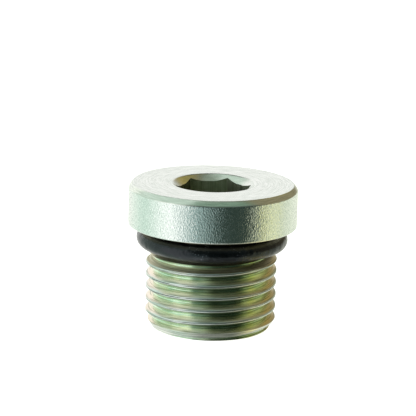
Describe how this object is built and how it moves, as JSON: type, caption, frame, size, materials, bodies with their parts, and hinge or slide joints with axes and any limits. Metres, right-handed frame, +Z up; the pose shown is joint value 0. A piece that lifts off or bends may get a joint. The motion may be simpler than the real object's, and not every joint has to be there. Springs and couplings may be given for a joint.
{
  "type": "hex socket plug",
  "caption": "Round-headed screw plug with a blind hexagon socket, an O-ring on the neck under its head and a fine metric thread with a chamfered end, for closing and sealing a threaded port.",
  "frame": {"origin": "middle of the flat threaded end, on which the plug stands", "axes": "+Z up the plug's axis from the threaded end to the head; +Y and -Y are square to two flats of the hexagon socket"},
  "size_m": [0.0206, 0.0206, 0.0179],
  "materials": {
    "plated_steel": "turned steel, zinc plated and passivated, faintly green and yellow",
    "nitrile_rubber": "moulded black nitrile rubber, satin"
  },
  "bodies": {
    "root": {"plug_body": "plated_steel", "o_ring": "nitrile_rubber"}
  },
  "joints": []
}
